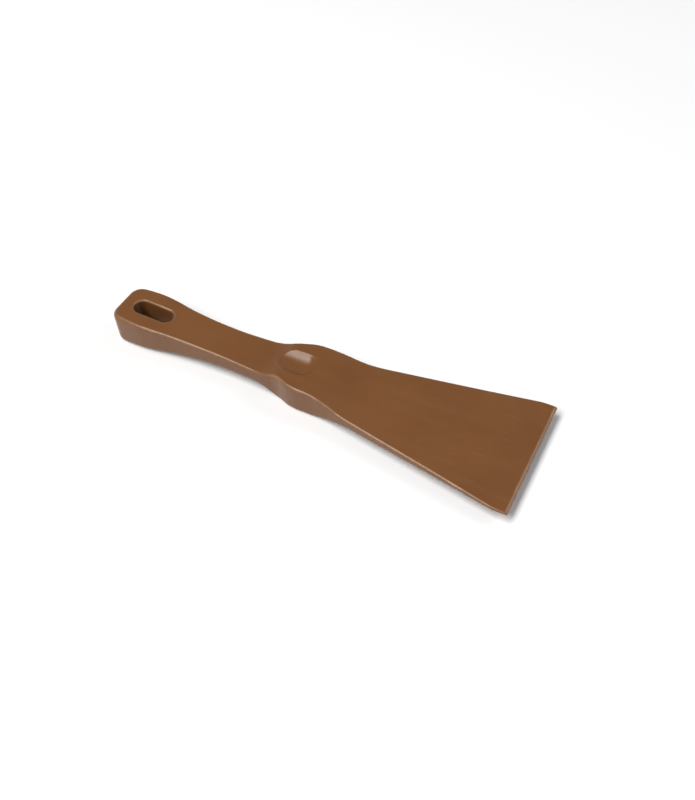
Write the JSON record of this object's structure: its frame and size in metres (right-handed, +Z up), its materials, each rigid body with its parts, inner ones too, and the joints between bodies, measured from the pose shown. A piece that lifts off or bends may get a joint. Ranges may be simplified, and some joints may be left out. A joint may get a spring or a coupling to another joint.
{
  "type": "hive tool",
  "caption": "One-piece moulded plastic hive tool: flared flat scraper blade, raised shoulder with a thumb scoop, and a thickening handle with a hanging slot.",
  "frame": {"origin": "centre of the bounding box, on the surface that the tool lies on", "axes": "+X along the tool from the butt to the blade's edge, +Y across the blade, +Z up, with the thumb scoop on top"},
  "size_m": [0.2504, 0.075, 0.0196],
  "materials": {
    "moulded_plastic": "satin moulded brown polypropylene"
  },
  "bodies": {
    "root": {"blade_and_handle": "moulded_plastic"}
  },
  "joints": []
}
